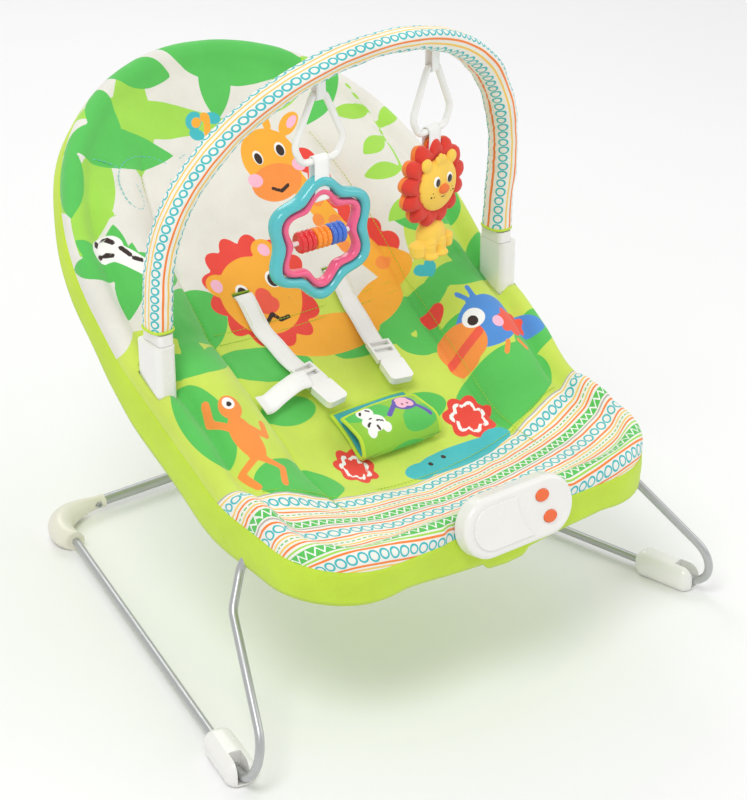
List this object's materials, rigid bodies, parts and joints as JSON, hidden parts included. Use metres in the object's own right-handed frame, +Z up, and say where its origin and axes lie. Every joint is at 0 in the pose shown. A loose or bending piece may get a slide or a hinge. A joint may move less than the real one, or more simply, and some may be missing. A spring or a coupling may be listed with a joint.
{
  "type": "bouncer seat",
  "caption": "Baby bouncer seat: sprung wire stand, tube frame with a quilted sling cover, harness, lift-out toy bar with hanging toys, vibration unit on the front tube.",
  "frame": {"origin": "on the floor, at the middle of the whole object's width and depth", "axes": "+Z up, +Y towards the back of the seat, +X to the right for someone who stands in front of the seat and looks at it"},
  "size_m": [0.5504, 0.5379, 0.5756],
  "materials": {
    "stand_steel": "satin silver-grey powder coat",
    "seat_tube_steel": "satin silver-grey powder coat",
    "ivory_plastic": "moulded, fine satin",
    "white_plastic": "moulded, glossy",
    "zinc_steel": "zinc plated",
    "cover_print": "printed brushed cotton, quilted",
    "lime_fabric": "plain woven edge fabric",
    "sleeve_print": "printed woven fabric, padded",
    "pad_print": "printed woven fabric, padded",
    "webbing": "white woven webbing",
    "unit_white": "moulded, glossy white",
    "orange_plastic": "moulded, semi-gloss",
    "cell_wrap": "printed film over steel",
    "board_green": "solder mask",
    "turquoise_plastic": "moulded, glossy",
    "pink_plastic": "moulded, glossy",
    "bead_red": "moulded, glossy, ribbed",
    "bead_orange": "moulded, glossy, ribbed",
    "bead_blue": "moulded, glossy, ribbed",
    "mane_red": "moulded, glossy",
    "face_yellow": "moulded, glossy",
    "weight_brass": "turned"
  },
  "bodies": {
    "base": {"base_rail_left": "stand_steel", "base_rail_right": "stand_steel", "front_foot_left": "white_plastic", "front_foot_right": "white_plastic", "rear_corner_left": "ivory_plastic", "rear_corner_right": "ivory_plastic", "rear_cross_tube": "stand_steel", "rear_corner_screws": "zinc_steel"},
    "seat": {"leg_left": "stand_steel", "leg_right": "stand_steel", "side_joint_left": "ivory_plastic", "side_joint_right": "ivory_plastic", "toy_bar_socket_left": "white_plastic", "toy_bar_socket_right": "white_plastic", "side_bolster_left": "cover_print", "side_bolster_right": "cover_print", "harness_strap_left": "webbing", "harness_strap_right": "webbing", "buckle_socket_left": "white_plastic", "buckle_socket_right": "white_plastic", "front_tube_clip_left": "ivory_plastic", "front_tube_clip_right": "ivory_plastic", "back_tube": "seat_tube_steel", "front_tube": "seat_tube_steel", "seat_frame_screws": "zinc_steel", "seat_panel": "cover_print", "back_panel": "cover_print", "edge_binding": "lime_fabric", "front_binding": "lime_fabric", "crotch_pad": "pad_print", "unit_front_cover": "unit_white", "unit_rear_housing": "unit_white", "mounting_clip": "unit_white", "housing_screws": "zinc_steel", "battery_cells": "cell_wrap", "battery_contacts": "zinc_steel", "circuit_board": "board_green", "motor_case": "zinc_steel"},
    "motor_rotor": {"motor_weight": "weight_brass"},
    "battery_door": {"battery_door": "unit_white"},
    "upper_button": {"upper_button": "orange_plastic"},
    "lower_button": {"lower_button": "orange_plastic"},
    "left_buckle": {"buckle_tongue_left": "white_plastic"},
    "right_buckle": {"buckle_tongue_right": "white_plastic"},
    "toy_bar": {"toy_bar_core": "white_plastic", "toy_bar_sleeve": "sleeve_print", "toy_loops": "webbing"},
    "left_link": {"toy_link_left": "white_plastic"},
    "right_link": {"toy_link_right": "white_plastic"},
    "ring_rattle": {"rattle_outer_ring": "turquoise_plastic", "rattle_inner_ring": "pink_plastic", "rattle_axle": "zinc_steel", "rattle_tape": "webbing"},
    "lion_toy": {"lion_mane": "mane_red", "lion_face": "face_yellow", "lion_body": "face_yellow", "lion_tape": "webbing"},
    "red_bead": {"red_bead": "bead_red"},
    "orange_bead": {"orange_bead": "bead_orange"},
    "blue_bead": {"blue_bead": "bead_blue"}
  },
  "joints": [
    {"name": "bounce", "type": "hinge", "parent": "base", "child": "seat", "pos_m": [0, -0.20639, 0.01], "axis": [1, 0, 0], "range_deg": [-5, 3], "stiffness_Nm_per_rad": 200, "springref_deg": 1.07},
    {"name": "toy_bar_lift", "type": "slide", "parent": "seat", "child": "toy_bar", "axis": [0, 0, 1], "range_m": [0, 0.03]},
    {"name": "left_link_swing", "type": "hinge", "parent": "toy_bar", "child": "left_link", "pos_m": [-0.061, -0.05856, 0.52694], "axis": [1, 0, 0], "range_deg": [-25, 25]},
    {"name": "right_link_swing", "type": "hinge", "parent": "toy_bar", "child": "right_link", "pos_m": [0.061, -0.05856, 0.52694], "axis": [0.9781, 0.2079, 0], "range_deg": [-25, 25]},
    {"name": "ring_rattle_swing", "type": "hinge", "parent": "left_link", "child": "ring_rattle", "pos_m": [-0.061, -0.05856, 0.46914], "axis": [1, 0, 0], "range_deg": [-20, 20]},
    {"name": "lion_toy_swing", "type": "hinge", "parent": "right_link", "child": "lion_toy", "pos_m": [0.061, -0.05856, 0.46914], "axis": [0.9781, 0.2079, 0], "range_deg": [-20, 20]},
    {"name": "red_bead_spin", "type": "hinge", "parent": "ring_rattle", "child": "red_bead", "pos_m": [-0.077, -0.05856, 0.39814], "axis": [1, 0, 0], "continuous": true},
    {"name": "orange_bead_spin", "type": "hinge", "parent": "ring_rattle", "child": "orange_bead", "pos_m": [-0.061, -0.05856, 0.39814], "axis": [1, 0, 0], "continuous": true},
    {"name": "blue_bead_spin", "type": "hinge", "parent": "ring_rattle", "child": "blue_bead", "pos_m": [-0.045, -0.05856, 0.39814], "axis": [1, 0, 0], "continuous": true},
    {"name": "upper_button_press", "type": "slide", "parent": "seat", "child": "upper_button", "axis": [0, 0.9744, -0.225], "range_m": [0, 0.0015], "stiffness_N_per_m": 400},
    {"name": "lower_button_press", "type": "slide", "parent": "seat", "child": "lower_button", "axis": [0, 0.9744, -0.225], "range_m": [0, 0.0015], "stiffness_N_per_m": 400},
    {"name": "battery_door_off", "type": "slide", "parent": "seat", "child": "battery_door", "axis": [0, -0.9744, 0.225], "range_m": [0, 0.015]},
    {"name": "motor_spin", "type": "hinge", "parent": "seat", "child": "motor_rotor", "pos_m": [0.0465, -0.2531, 0.18981], "axis": [0, 0.225, 0.9744], "continuous": true},
    {"name": "right_buckle_release", "type": "slide", "parent": "seat", "child": "right_buckle", "axis": [0.1399, 0.9327, 0.3324], "range_m": [0, 0.02]},
    {"name": "left_buckle_release", "type": "slide", "parent": "seat", "child": "left_buckle", "axis": [-0.1399, 0.9327, 0.3324], "range_m": [0, 0.02]}
  ]
}
